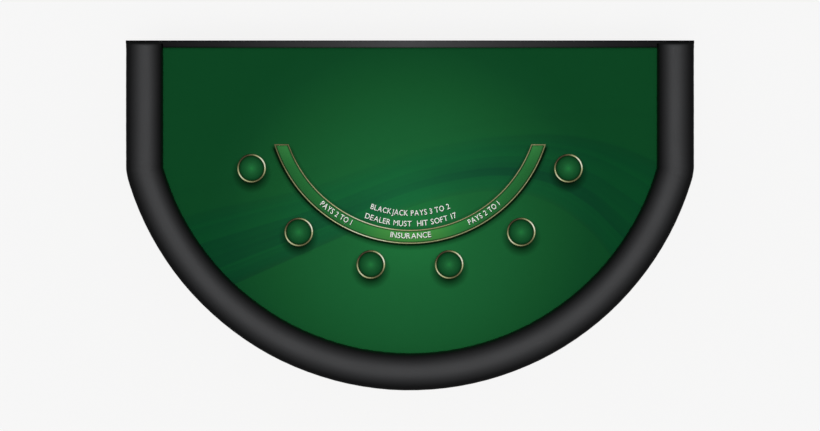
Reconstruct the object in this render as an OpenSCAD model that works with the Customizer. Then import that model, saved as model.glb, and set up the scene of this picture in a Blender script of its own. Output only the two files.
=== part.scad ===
// Blackjack table: a felt-covered deck with a padded armrest on the players'
// side, a dealer's rail along the back, and two pedestal legs on screw levellers.
// Millimetres. +Z is up, +Y points to the dealer's side, and the origin is on
// the floor below the middle of the table top.

/* [Table top] */
// Overall width, across the straight sides
table_w = 1980; // [1650:10:2400]
// Overall depth, from the dealer's edge to the front of the arc
table_d = 1220; // [1000:10:1480]
// Depth of the straight sides, before the arc begins
side_l = 460; // [380:10:560]
// Height of the armrest's crown above the floor
table_h = 1000; // [720:10:1200]
// Thickness of the plywood deck
deck_t = 25; // [18:1:32]
// Thickness of the foam underlay
underlay_t = 3; // [1.5:0.5:6]
// Thickness of the playing cloth
cloth_t = 1.2; // [0.6:0.1:2]

/* [Armrest] */
// Width of the padded armrest
armrest_w = 130; // [100:1:150]
// Height of the armrest's crown above the cloth
armrest_rise = 40; // [30:1:60]
// Thickness of the vinyl cover
cover_t = 1.5; // [1:0.1:3]
// Width of the cover's hem under the deck
hem_w = 34; // [24:1:42]
// Thickness of the plywood base inside the armrest
armrest_base_t = 12; // [9:1:18]
// Foam between the cover and the base or deck on the outer side
outer_pad_t = 14; // [8:1:20]
// Foam beside the base on the inner side
inner_pad_t = 10; // [6:1:20]
// Armrest bolts along half of the arc
arc_bolts = 4; // [2:1:6]

/* [Dealer's rail] */
// Thickness of the rail along the dealer's edge
rail_t = 25; // [18:1:32]
// How far the armrest's ends lap over the dealer rail
rail_lap = 14; // [8:0.5:18]
// Height of the rail's top above the cloth
rail_rise = 12; // [6:1:20]
// Height of the rail
rail_h = 68; // [50:1:90]
// Radius of the rail's long edges
rail_r = 5; // [2:0.5:8]
// Number of screws in the rail
rail_screws = 6; // [4:1:10]

/* [Layout on the cloth] */
// Outer diameter of a betting ring
ring_d = 100.6; // [80:0.1:120]
// Width of a ring's line
ring_line = 6.6; // [3:0.1:10]
// Height of a ring above the cloth
ring_t = 1.2; // [0.4:0.1:3]
// Distance from the armrest's inner edge to the ring centres
ring_inset = 288; // [240:5:330]
// Distance from ring to ring along their arc
ring_pitch = 278; // [220:1:300]
// How far each pair of rings stands out from their arc, the middle pair first
ring_bow = [-5.5, 4.3, -0.5];
// Gap from the row of ring centres to the insurance band, at the middle
ring_to_band = 93; // [70:1:120]
// Width of the insurance band, with its border
band_w = 49.5; // [40:0.5:60]
// Width of the band's border line
band_line = 5; // [2:0.5:8]
// Height of the border above the cloth
border_t = 1; // [0.4:0.1:2]
// Thickness of the band's inlay
band_t = 0.5; // [0.2:0.1:1]
// How far the band's centre lies in front of the arc's centre
band_shift = 16.3; // [0:0.1:30]
// Depth from the band's centre to its cut ends
band_rise = 149.5; // [120:0.5:180]

/* [Apron] */
// Height of the apron below the deck
apron_h = 110; // [80:5:140]
// Thickness of the apron
apron_t = 12; // [9:1:18]
// Distance from the cover's hem to the apron
apron_setback = 3; // [1:0.5:10]
// Size of a glue block: width, depth and height
glue_block = [60, 30, 40];

/* [Legs] */
// Distance from the table's side to the middle of a leg
leg_inset = 430; // [330:5:480]
// Width of the columns, foot beams and bearers
leg_w = 90; // [80:1:110]
// Depth of a column, front to back
column_d = 220; // [180:5:230]
// Wall of a box column
column_wall = 18; // [15:1:22]
// Radius of a column's upright edges
column_r = 6; // [2:1:10]
// Depth of the routed panel in a column's broad faces
panel_t = 3; // [1:0.5:5]
// Margin around the routed panel
panel_margin = 34; // [25:1:45]
// Height of a foot beam
foot_h = 70; // [60:1:90]
// Chamfer along a foot beam's top edges
foot_chamfer = 6; // [2:1:10]
// Drop of a foot beam's sloping ends
foot_slope_h = 26; // [15:1:35]
// Length of a foot beam's sloping ends
foot_slope_l = 44; // [30:1:60]
// Distance from the table's front edge to a foot beam
foot_front_setback = 73; // [40:1:120]
// Distance from the dealer's edge to a foot beam
foot_back_setback = 120; // [60:1:160]
// Height of a bearer under the deck
bearer_h = 60; // [50:1:80]
// Height of the stretcher
stretcher_h = 110; // [80:5:140]
// Thickness of the stretcher
stretcher_t = 45; // [36:1:60]
// Height of the stretcher's middle above the floor
stretcher_z = 300; // [220:5:400]
// Radius of the stretcher's long edges
stretcher_r = 6; // [2:1:10]

/* [Fixings] */
// Diameter of the armrest bolts
bolt_d = 8; // [6:1:10]
// Diameter of the tie rods in the stretcher and the columns
rod_d = 12; // [10:1:14]
// Radial clearance of bolts, rods and screws in their holes
hole_clear = 0.5; // [0.2:0.1:1]
// Radial clearance of a thread in its nut or insert
thread_clear = 0.05; // [0.02:0.01:0.1]

/* [Levellers] */
// Diameter of a leveller's stem
stem_d = 16; // [12:1:20]
// How far a leveller screws out
leveller_travel = 18; // [10:1:25]
// Diameter of a leveller's foot
foot_pad_d = 60; // [45:1:75]
// Thickness of its rubber sole
sole_t = 5; // [3:0.5:8]
// Gap from a stem's collar to the foot beam when screwed in
collar_room = 3.7; // [2:0.1:10]
// Distance from a foot beam's slope to its leveller
leveller_setback = 32; // [25:1:60]
// Length of a threaded insert
insert_l = 35; // [25:1:40]

/* [Hidden] */
$fn = 48;
arc_fn = 180;       // segments on the table's large arcs
past = 1;           // how far a cut runs past a face
seat_gap = 0.3;     // gap under the armrest's inner lip

// Plan outline: straight sides closed by one arc
half_w = table_w / 2;
back_y = table_d / 2;
sag = table_d - side_l;
arc_r = (half_w * half_w + sag * sag) / (2 * sag);
arc_y = arc_r - back_y;
rail_y = back_y - rail_t;
lap_y = rail_y + rail_lap;

// Levellers, from the floor up
cup_h = 4;          // dished plate on the sole
boss_h = 3;
socket_depth = 6;
collar_gap = 0.3;
collar_h = 6;
cup_z = sole_t;
socket_z = cup_z + cup_h + boss_h - socket_depth;
collar_z = cup_z + cup_h + boss_h + collar_gap;
foot_gap = collar_z + collar_h + collar_room;

// Heights
cloth_z = table_h - armrest_rise;
underlay_z = cloth_z - cloth_t - underlay_t;
deck_z = underlay_z - deck_t;
apron_z = deck_z - apron_h;
bearer_z = deck_z - bearer_h;
column_z = foot_gap + foot_h;

// Armrest
armrest_mid = armrest_w / 2;
base_inset = outer_pad_t;
base_inset_in = armrest_w - inner_pad_t;
crown_power = 2.3;  // 2 is an ellipse, more is squarer
crown_steps = 18;
apron_inset = hem_w + apron_setback;
washer_d = bolt_d + 16;
washer_t = 2;
bolt_inset = apron_inset + apron_t + washer_d / 2 + 3;
bolt_r = arc_r - bolt_inset;
half_arc = asin(kink(bolt_inset)[0] / bolt_r);
bolt_step = half_arc / arc_bolts;
tee_flange_t = 1.6;
tee_flange_d = bolt_d + 14;
tee_barrel_d = bolt_d + 2;
bolt_head_h = 5.3;
bolt_head_d = bolt_d + 7;   // across corners

// Layout
ring_arc_r = arc_r - armrest_w - ring_inset;
ring_step = ring_pitch / ring_arc_r * 180 / PI;
ring_count = 6;
band_r = ring_arc_r - ring_to_band - band_shift;
band_y = arc_y - band_shift;
// The band's cut ends stay clear of the dealer rail on a shallow table
band_cut_y = min(band_y - band_rise, rail_y - band_w);

// Legs
leg_x = half_w - leg_inset;
foot_front = front_y(0, leg_x) + foot_front_setback;
foot_back = back_y - foot_back_setback;
foot_l = foot_back - foot_front;
leg_y = (foot_front + foot_back) / 2;
block_gap = 6;      // between a bearer's corner and the ring of glue blocks
bearer_front = front_y(apron_inset + apron_t + glue_block[1] + block_gap, leg_x + leg_w / 2);
bearer_back = rail_y - apron_t - glue_block[1] - block_gap;
bearer_l = bearer_back - bearer_front;
bearer_nose = 40;   // slope at the front of a bearer
column_l = bearer_z - column_z;
rod_spread = column_d / 2 - 50;
rod_sink = 20;      // counterbore for a rod's nut and washer
rod_washer_d = rod_d + 16;
rod_washer_t = 2.5;
rod_nut_h = 10;
rod_nut_d = rod_d + 9.9;    // across corners
rod_end = 3;        // a rod's end beyond its nut
tie_spread = stretcher_h / 2 - 25;
cap_nut_h = 12;
cap_dome_r = rod_d / 2 + 3;
screw_d = 6;
screw_head_d = 11;
screw_head_h = 4;
screw_sink = 30;
screw_bite = deck_t - 7;    // how far a bearer's screw goes into the deck
rail_screw_d = 5;
rail_screw_head_d = 10;
rail_screw_head_h = 3;
rail_screw_bite = 35;
rail_screw_margin = 90;

// Levellers
stem_r = stem_d / 2;
insert_wall = 3;
insert_flange = 4;
insert_flange_t = 2;
stem_hole_spare = 4;
boss_r = stem_r + 5;
collar_d = stem_d + 11.7;   // across corners
stem_short = 5;     // a stem's end stays this far below its insert's top, screwed out
stem_chamfer = 1;
stem_top_z = foot_gap + insert_l + leveller_travel - stem_short;
leveller_inset = foot_slope_l + leveller_setback;
leveller_at = [for (y = [foot_front + leveller_inset, foot_back - leveller_inset])
               for (s = [-1, 1]) [s * leg_x, y]];

// ---- Plan shapes ----

// y of the arc, set in from the edge, at a given x
function front_y(inset, x) = arc_y - sqrt(pow(arc_r - inset, 2) - x * x);

// Corner where a set-in outline turns from straight side to arc
function kink(inset) = [half_w - inset, front_y(inset, half_w - inset)];

function mirrored(p) = [-p[0], p[1]];

// The table's outline, set in from sides and arc, up to the line y = back
module outline(inset, back) {
    intersection() {
        translate([inset - half_w, -table_d]) square([table_w - 2 * inset, table_d + back]);
        union() {
            translate([0, arc_y]) circle(r = arc_r - inset, $fn = arc_fn);
            translate([-half_w, arc_y]) square([table_w, table_d]);
        }
    }
}

// A U-shaped strip along the sides and arc, between two insets
module edge_strip(outer, inner) {
    difference() {
        outline(outer, rail_y);
        outline(inner, rail_y + past);
    }
}

// The plan is mitred where the straight sides meet the arc, so that side = 1 is
// the right piece, -1 the left piece and 0 the front piece between two insets
module mitre_zone(side, outer, inner) {
    a = kink(outer);
    b = kink(inner);
    reach = 60 * (a - b) / norm(a - b);
    p = a + reach;
    q = b - reach;
    if (side == 0)
        polygon([p, q, mirrored(q), mirrored(p), [-table_w, -table_d], [table_w, -table_d]]);
    else
        scale_side(side) polygon([p, q, [q[0], table_d], [p[0], table_d]]);
}

module scale_side(side) {
    if (side < 0) mirror([1, 0, 0]) children();
    else children();
}

module mitred_strip(side, outer, inner, height) {
    linear_extrude(height) intersection() {
        edge_strip(outer, inner);
        mitre_zone(side, outer, inner);
    }
}

// ---- Armrest profile ----

// Points [inset, z] over the crown, from outer to inner edge, set in by skin
function crown(skin) = [for (k = [0:crown_steps])
    let (a = 180 - 180 * k / crown_steps, c = cos(a), s = sin(a))
    [armrest_mid + (armrest_mid - skin) * sign(c) * pow(abs(c), 2 / crown_power),
     cloth_z + seat_gap + (armrest_rise - seat_gap - skin) * pow(abs(s), 2 / crown_power)]];

function reversed(list) = [for (k = [len(list) - 1:-1:0]) list[k]];

function foam_profile() = concat(
    [[cover_t, deck_z]], crown(cover_t),
    [[base_inset_in, cloth_z + seat_gap], [base_inset_in, cloth_z + armrest_base_t],
     [base_inset, cloth_z + armrest_base_t], [base_inset, deck_z]]);

function cover_profile() = concat(
    [[0, deck_z - cover_t]], crown(0), reversed(crown(cover_t)),
    [[cover_t, deck_z], [hem_w, deck_z], [hem_w, deck_z - cover_t]]);

// Everything under the crown: closes the cover at its dealer's end
function cap_profile() = concat(
    [[cover_t, deck_z]], crown(cover_t),
    [[base_inset_in, cloth_z + seat_gap], [base_inset_in, cloth_z],
     [base_inset, cloth_z], [base_inset, deck_z]]);

// Sweep a profile along the arc or along one straight side, up to y = back
module armrest_sweep(side, profile, back) {
    intersection() {
        if (side == 0)
            translate([0, arc_y, 0]) rotate([0, 0, 180])
                rotate_extrude($fn = arc_fn) polygon([for (p = profile) [arc_r - p[0], p[1]]]);
        else
            side_sweep(side, profile, -back_y, back);
        linear_extrude(2 * table_h) mitre_zone(side, 0, armrest_w);
    }
}

// A straight extrusion of a profile from y = front to y = back
module side_sweep(side, profile, front, back) {
    scale_side(side) translate([0, back, 0]) rotate([90, 0, 0])
        linear_extrude(back - front) polygon([for (p = profile) [half_w - p[0], p[1]]]);
}

// Where the armrest's bolts stand: along the arc and both straight sides
function armrest_bolt_at() = concat(
    [for (k = [0.5 - arc_bolts:arc_bolts - 0.5]) arc_point(bolt_r, k * bolt_step)],
    [for (s = [-1, 1]) for (share = [0.25, 0.75])
        [s * (half_w - bolt_inset), side_point(bolt_inset, share)]]);

function arc_point(r, angle) = [r * sin(angle), arc_y - r * cos(angle)];

function side_point(inset, share) =
    kink(inset)[1] + share * (rail_y - kink(inset)[1]);

module at_bolts() {
    for (p = armrest_bolt_at()) translate([p[0], p[1], 0]) children();
}

// A hexagon of the given size across its corners
module hex(d, h) {
    cylinder(d = d, h = h, $fn = 6);
}

module rounded_rect(size, r) {
    translate([r, 0]) square([size[0] - 2 * r, size[1]]);
    translate([0, r]) square([size[0], size[1] - 2 * r]);
    for (x = [r, size[0] - r]) for (y = [r, size[1] - r]) translate([x, y]) circle(r);
}

// ---- Table top ----

module deck_board() {
    color("burlywood") difference() {
        translate([0, 0, deck_z]) linear_extrude(deck_t) outline(base_inset, rail_y);
        translate([0, 0, deck_z - past]) at_bolts()
            cylinder(d = bolt_d + 2 * hole_clear, h = deck_t + 2 * past);
        at_bearer_screws() translate([0, 0, bearer_z])
            cylinder(d = screw_d + 2 * thread_clear, h = bearer_h + screw_bite + past);
        at_rail_screws() rotate([90, 0, 0])
            cylinder(d = rail_screw_d + 2 * thread_clear, h = rail_screw_bite + past);
    }
}

module top_sheet(z, t) {
    difference() {
        translate([0, 0, z]) linear_extrude(t) outline(base_inset + cover_t, rail_y);
        translate([0, 0, z - past]) at_bolts()
            cylinder(d = bolt_d + 4 * hole_clear, h = t + 2 * past);
    }
}

module foam_underlay() {
    color("gainsboro") top_sheet(underlay_z, underlay_t);
}

module playing_cloth() {
    color([0.10, 0.37, 0.19]) top_sheet(underlay_z + underlay_t, cloth_t);
}

// A sector of the insurance band, set in from its border all round
module band_sector(inset) {
    intersection() {
        translate([0, band_y]) difference() {
            circle(r = band_r - inset, $fn = arc_fn);
            circle(r = band_r - band_w + inset, $fn = arc_fn);
        }
        translate([-table_w, -2 * table_d + band_cut_y - inset])
            square([2 * table_w, 2 * table_d]);
    }
}

module insurance_band() {
    color([0.22, 0.50, 0.22]) translate([0, 0, cloth_z])
        linear_extrude(band_t) band_sector(band_line);
}

module insurance_border() {
    color("goldenrod") translate([0, 0, cloth_z]) linear_extrude(border_t) difference() {
        band_sector(0);
        band_sector(band_line);
    }
}

module betting_ring(k) {
    place = k - (ring_count + 1) / 2;
    p = arc_point(ring_arc_r + ring_bow[floor(abs(place))], place * ring_step);
    color("goldenrod") translate([p[0], p[1], cloth_z]) difference() {
        cylinder(d = ring_d, h = ring_t, $fn = 96);
        translate([0, 0, -past]) cylinder(d = ring_d - 2 * ring_line, h = ring_t + 2 * past, $fn = 96);
    }
}

// ---- Dealer's rail ----

module at_rail_screws() {
    step = (table_w - 2 * rail_screw_margin) / (rail_screws - 1);
    for (k = [0:rail_screws - 1])
        translate([-half_w + rail_screw_margin + k * step, rail_y, deck_z + deck_t / 2]) children();
}

module dealer_rail() {
    color([0.12, 0.12, 0.12]) difference() {
        translate([-half_w, rail_y, cloth_z + rail_rise - rail_h]) rotate([90, 0, 90])
            linear_extrude(table_w) rounded_rect([rail_t, rail_h], rail_r);
        // A rebate under each end of the armrest
        for (s = [-1, 1]) scale_side(s)
            translate([half_w - armrest_w - seat_gap, rail_y - past, cloth_z])
                cube([armrest_w + seat_gap + past, rail_lap + seat_gap + past, rail_h]);
        at_rail_screws() {
            rotate([-90, 0, 0]) translate([0, 0, -past])
                cylinder(d = rail_screw_d + 2 * hole_clear, h = rail_t + 2 * past);
            rotate([-90, 0, 0]) translate([0, 0, rail_t - rail_screw_head_h])
                cylinder(d = rail_screw_head_d + 2 * hole_clear, h = rail_screw_head_h + past);
        }
    }
}

module dealer_rail_screws() {
    color("dimgray") at_rail_screws() rotate([-90, 0, 0]) difference() {
        union() {
            translate([0, 0, -rail_screw_bite]) cylinder(d = rail_screw_d, h = rail_screw_bite + rail_t / 2);
            translate([0, 0, rail_t / 2 - past])
                cylinder(d = rail_screw_d, h = rail_t / 2 - rail_screw_head_h + past);
            translate([0, 0, rail_t - rail_screw_head_h])
                cylinder(d = rail_screw_head_d, h = rail_screw_head_h);
        }
        translate([0, 0, rail_t - 2]) hex(4.6, 2 + past);
    }
}

// ---- Armrest ----

module armrest_base(side) {
    color("tan") difference() {
        translate([0, 0, cloth_z]) intersection() {
            mitred_strip(side, base_inset, base_inset_in, armrest_base_t);
            translate([-table_w, -2 * table_d + lap_y - cover_t, 0])
                cube([2 * table_w, 2 * table_d, armrest_base_t]);
        }
        at_bolts() {
            translate([0, 0, cloth_z - past])
                cylinder(d = tee_barrel_d + 2 * thread_clear, h = armrest_base_t + 2 * past);
            translate([0, 0, cloth_z + armrest_base_t - tee_flange_t])
                cylinder(d = tee_flange_d + 2 * thread_clear, h = tee_flange_t + past);
        }
    }
}

// Everything behind y that is lower than the rail's rebate
module under_lap(y) {
    translate([-table_w, y, 0]) cube([2 * table_w, table_d, cloth_z]);
}

module armrest_foam(side) {
    color("khaki") difference() {
        armrest_sweep(side, foam_profile(), lap_y - cover_t);
        under_lap(rail_y - cover_t);
    }
}

module armrest_cover(side) {
    color([0.10, 0.10, 0.10]) {
        difference() {
            union() {
                armrest_sweep(side, cover_profile(), lap_y);
                if (side != 0) side_sweep(side, cap_profile(), lap_y - cover_t, lap_y);
            }
            under_lap(rail_y);
        }
        if (side != 0) intersection() {
            side_sweep(side, cap_profile(), rail_y - cover_t, rail_y);
            under_lap(0);
        }
    }
}

module armrest_bolts() {
    head_z = deck_z - washer_t - bolt_head_h;
    color("silver") at_bolts() {
        translate([0, 0, head_z]) hex(bolt_head_d, bolt_head_h);
        translate([0, 0, head_z + bolt_head_h - past])
            cylinder(d = bolt_d, h = cloth_z + armrest_base_t - tee_flange_t - deck_z + washer_t + past);
    }
}

module armrest_washers() {
    color("gainsboro") at_bolts() translate([0, 0, deck_z - washer_t]) difference() {
        cylinder(d = washer_d, h = washer_t);
        translate([0, 0, -past]) cylinder(d = bolt_d + 2 * hole_clear, h = washer_t + 2 * past);
    }
}

module armrest_tee_nuts() {
    top_z = cloth_z + armrest_base_t;
    color("silver") at_bolts() difference() {
        union() {
            translate([0, 0, cloth_z]) cylinder(d = tee_barrel_d, h = armrest_base_t);
            translate([0, 0, top_z - tee_flange_t]) cylinder(d = tee_flange_d, h = tee_flange_t);
        }
        translate([0, 0, cloth_z - past])
            cylinder(d = bolt_d + 2 * thread_clear, h = armrest_base_t + 2 * past);
    }
}

// ---- Apron ----

module apron(side) {
    color([0.08, 0.08, 0.08]) translate([0, 0, apron_z])
        mitred_strip(side, apron_inset, apron_inset + apron_t, apron_h);
}

module apron_back() {
    half = half_w - apron_inset - apron_t;
    color([0.08, 0.08, 0.08]) translate([-half, rail_y - apron_t, apron_z])
        cube([2 * half, apron_t, apron_h]);
}

module one_glue_block() {
    translate([-glue_block[0] / 2, 0, deck_z - glue_block[2]]) cube(glue_block);
}

module glue_blocks() {
    apron_in = apron_inset + apron_t;
    // A straight block in the hollow of the curved apron: its outer corners touch
    block_r = sqrt(pow(arc_r - apron_in, 2) - pow(glue_block[0] / 2, 2)) - thread_clear;
    color("burlywood") {
        for (k = [1 - arc_bolts:arc_bolts - 1]) {
            p = arc_point(block_r, k * bolt_step);
            translate([p[0], p[1], 0]) rotate([0, 0, k * bolt_step]) one_glue_block();
        }
        for (s = [-1, 1]) translate([s * (half_w - apron_in), side_point(apron_in, 0.5), 0])
            rotate([0, 0, s * 90]) one_glue_block();
        for (share = [-0.8, 0, 0.8]) translate([share * (half_w - apron_in), rail_y - apron_t, 0])
            rotate([0, 0, 180]) one_glue_block();
    }
}

// ---- Legs ----

module at_bearer_screws() {
    for (s = [-1, 1]) for (y = [bearer_front + bearer_nose + 20, bearer_front + bearer_nose + 90,
                               bearer_back - 100, bearer_back - 30])
        translate([s * leg_x, y, 0]) children();
}

// The upright rods that clamp bearer, column and foot beam together
module at_column_rods(side) {
    for (s = side == 0 ? [-1, 1] : [side]) for (t = [-1, 1])
        translate([s * leg_x, leg_y + t * rod_spread, 0]) children();
}

module bearer(side) {
    nose = bearer_h / 2;
    color("sienna") difference() {
        translate([side * leg_x - leg_w / 2, bearer_front, bearer_z]) rotate([90, 0, 90])
            linear_extrude(leg_w) polygon([[bearer_nose, 0], [bearer_l, 0], [bearer_l, bearer_h],
                                           [0, bearer_h], [0, nose]]);
        at_column_rods(side) {
            translate([0, 0, bearer_z - past])
                cylinder(d = rod_d + 2 * hole_clear, h = bearer_h + 2 * past);
            translate([0, 0, deck_z - rod_sink])
                cylinder(d = rod_washer_d + 2 * hole_clear, h = rod_sink + past);
        }
        at_bearer_screws() {
            translate([0, 0, bearer_z - past])
                cylinder(d = screw_d + 2 * hole_clear, h = bearer_h + 2 * past);
            translate([0, 0, bearer_z - past])
                cylinder(d = screw_head_d + 2 * hole_clear, h = screw_sink + past);
        }
    }
}

module bearer_screws() {
    head_z = bearer_z + screw_sink - screw_head_h;
    color("silver") at_bearer_screws() difference() {
        union() {
            translate([0, 0, head_z]) cylinder(d = screw_head_d, h = screw_head_h);
            translate([0, 0, head_z]) cylinder(d = screw_d, h = deck_z + screw_bite - head_z);
        }
        translate([0, 0, head_z - past]) hex(5.8, 2.5 + past);
    }
}

module leg_column(side) {
    inner = [leg_w - 2 * column_wall, column_d - 2 * column_wall];
    panel = [panel_t + past, column_d - 2 * panel_margin, column_l - 2 * panel_margin];
    color([0.10, 0.10, 0.10]) translate([side * leg_x, leg_y, column_z]) difference() {
        linear_extrude(column_l) difference() {
            translate([-leg_w / 2, -column_d / 2]) rounded_rect([leg_w, column_d], column_r);
            square(inner, center = true);
        }
        for (s = [-1, 1]) translate([s * (leg_w + past - panel_t) / 2, 0, column_l / 2])
            cube(panel, center = true);
        for (t = [-1, 1])
            translate([-leg_w, 0, stretcher_z + t * tie_spread - column_z]) rotate([0, 90, 0])
                cylinder(d = rod_d + 2 * hole_clear, h = 2 * leg_w);
    }
}

module foot_beam(side) {
    c = foot_chamfer;
    low = foot_h - foot_slope_h;
    color([0.10, 0.10, 0.10]) translate([side * leg_x, 0, foot_gap]) difference() {
        intersection() {
            translate([-leg_w / 2, foot_front, 0]) rotate([90, 0, 90]) linear_extrude(leg_w)
                polygon([[0, 0], [foot_l, 0], [foot_l, low], [foot_l - foot_slope_l, foot_h],
                         [foot_slope_l, foot_h], [0, low]]);
            translate([0, foot_back, 0]) rotate([90, 0, 0]) linear_extrude(foot_l)
                polygon([[-leg_w / 2, 0], [leg_w / 2, 0], [leg_w / 2, foot_h - c],
                         [leg_w / 2 - c, foot_h], [c - leg_w / 2, foot_h], [-leg_w / 2, foot_h - c]]);
        }
        for (t = [-1, 1]) translate([0, leg_y + t * rod_spread, -past]) {
            cylinder(d = rod_d + 2 * hole_clear, h = foot_h + 2 * past);
            cylinder(d = rod_washer_d + 2 * hole_clear, h = rod_sink + past);
        }
        for (y = [foot_front + leveller_inset, foot_back - leveller_inset]) translate([0, y, -past]) {
            cylinder(d = stem_d + 2 * insert_wall + 2 * thread_clear, h = insert_l + past);
            cylinder(d = stem_d + 2 * insert_wall + 2 * insert_flange + 2 * thread_clear,
                     h = insert_flange_t + past);
            cylinder(d = stem_d + 2 * hole_clear, h = stem_top_z - foot_gap + stem_hole_spare + past);
        }
    }
}

module column_rods() {
    low = foot_gap + rod_sink - rod_washer_t - rod_nut_h - rod_end;
    high = deck_z - rod_sink + rod_washer_t + rod_nut_h + rod_end;
    color("silver") at_column_rods(0) translate([0, 0, low]) cylinder(d = rod_d, h = high - low);
}

module column_rod_washers() {
    color("gainsboro") at_column_rods(0)
        for (z = [foot_gap + rod_sink - rod_washer_t, deck_z - rod_sink])
            translate([0, 0, z]) rod_washer();
}

module rod_washer() {
    difference() {
        cylinder(d = rod_washer_d, h = rod_washer_t);
        translate([0, 0, -past]) cylinder(d = rod_d + hole_clear, h = rod_washer_t + 2 * past);
    }
}

module column_rod_nuts() {
    color("silver") at_column_rods(0)
        for (z = [foot_gap + rod_sink - rod_washer_t - rod_nut_h, deck_z - rod_sink + rod_washer_t])
            translate([0, 0, z]) difference() {
                hex(rod_nut_d, rod_nut_h);
                translate([0, 0, -past])
                    cylinder(d = rod_d + 2 * thread_clear, h = rod_nut_h + 2 * past);
            }
}

// ---- Stretcher ----

stretcher_l = 2 * leg_x - leg_w + 2 * panel_t; // it is let into the routed panels
tie_half = leg_x + leg_w / 2 - panel_t;         // from the middle to a washer's seat

module at_tie_rods() {
    for (t = [-1, 1]) translate([0, leg_y, stretcher_z + t * tie_spread])
        rotate([0, 90, 0]) children();
}

module stretcher() {
    color([0.10, 0.10, 0.10]) difference() {
        translate([-stretcher_l / 2, leg_y - stretcher_t / 2, stretcher_z - stretcher_h / 2])
            rotate([90, 0, 90]) linear_extrude(stretcher_l)
                rounded_rect([stretcher_t, stretcher_h], stretcher_r);
        at_tie_rods() cylinder(d = rod_d + 2 * hole_clear, h = stretcher_l + 2 * past, center = true);
    }
}

module tie_rods() {
    color("silver") at_tie_rods()
        cylinder(d = rod_d, h = 2 * (tie_half + rod_washer_t + cap_nut_h), center = true);
}

module tie_rod_washers() {
    color("gainsboro") at_tie_rods() for (s = [-1, 1])
        translate([0, 0, s * (tie_half + rod_washer_t / 2) - rod_washer_t / 2]) rod_washer();
}

module cap_nuts() {
    color("gainsboro") at_tie_rods() for (s = [0, 180]) rotate([s, 0, 0])
        translate([0, 0, tie_half + rod_washer_t]) difference() {
            union() {
                hex(rod_nut_d, cap_nut_h);
                translate([0, 0, cap_nut_h]) intersection() {
                    sphere(cap_dome_r);
                    translate([-cap_dome_r, -cap_dome_r, -past]) cube(2 * cap_dome_r);
                }
            }
            translate([0, 0, -past]) cylinder(d = rod_d + 2 * thread_clear, h = cap_nut_h + past);
        }
}

// ---- Levellers ----

module at_leveller(k) {
    translate([leveller_at[k - 1][0], leveller_at[k - 1][1], 0]) children();
}

module leveller_inserts() {
    color("darkgoldenrod") for (k = [1:4]) at_leveller(k) translate([0, 0, foot_gap]) difference() {
        union() {
            cylinder(r = stem_r + insert_wall, h = insert_l);
            cylinder(r = stem_r + insert_wall + insert_flange, h = insert_flange_t);
        }
        translate([0, 0, -past]) cylinder(r = stem_r, h = insert_l + 2 * past);
    }
}

module leveller_stem(k) {
    r = stem_r - thread_clear;
    color("silver") at_leveller(k) {
        translate([0, 0, socket_z]) cylinder(r = r, h = stem_top_z - socket_z - stem_chamfer);
        translate([0, 0, collar_z]) hex(collar_d, collar_h);
        translate([0, 0, stem_top_z - stem_chamfer])
            cylinder(r1 = r, r2 = r - stem_chamfer, h = stem_chamfer);
    }
}

module leveller_cup(k) {
    r = foot_pad_d / 2;
    rim = 1.5;
    color("dimgray") at_leveller(k) translate([0, 0, cup_z]) difference() {
        union() {
            cylinder(r = r - 1, h = rim);
            translate([0, 0, rim]) cylinder(r1 = r - 1, r2 = boss_r + 3, h = cup_h - rim);
            cylinder(r = boss_r, h = cup_h + boss_h);
        }
        translate([0, 0, socket_z - cup_z]) cylinder(r = stem_r, h = socket_depth + past);
    }
}

module leveller_sole(k) {
    r = foot_pad_d / 2;
    color([0.15, 0.15, 0.15]) at_leveller(k) {
        cylinder(r1 = r - 1, r2 = r, h = 1);
        translate([0, 0, 1]) cylinder(r = r, h = sole_t - 1);
    }
}

// ---- Pieces ----

deck_board();
foam_underlay();
playing_cloth();
insurance_band();
insurance_border();
for (k = [1:ring_count])
    betting_ring(k);
dealer_rail();
dealer_rail_screws();
armrest_base(-1);  // armrest_base_left
armrest_base(0);  // armrest_base_front
armrest_base(1);  // armrest_base_right
armrest_foam(-1);  // armrest_foam_left
armrest_foam(0);  // armrest_foam_front
armrest_foam(1);  // armrest_foam_right
armrest_cover(-1);  // armrest_cover_left
armrest_cover(0);  // armrest_cover_front
armrest_cover(1);  // armrest_cover_right
armrest_bolts();
armrest_washers();
armrest_tee_nuts();
apron(-1);  // apron_left
apron(0);  // apron_front
apron(1);  // apron_right
apron_back();
glue_blocks();
bearer(-1);  // bearer_left
bearer(1);  // bearer_right
bearer_screws();
leg_column(-1);  // leg_column_left
leg_column(1);  // leg_column_right
foot_beam(-1);  // foot_beam_left
foot_beam(1);  // foot_beam_right
column_rods();
column_rod_washers();
column_rod_nuts();
stretcher();
tie_rods();
tie_rod_washers();
cap_nuts();
leveller_inserts();
for (k = [1:4]) {
    leveller_stem(k);
    leveller_cup(k);
    leveller_sole(k);
}
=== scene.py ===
import math

import bmesh
import bpy
import numpy as np
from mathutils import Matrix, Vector, noise


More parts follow.
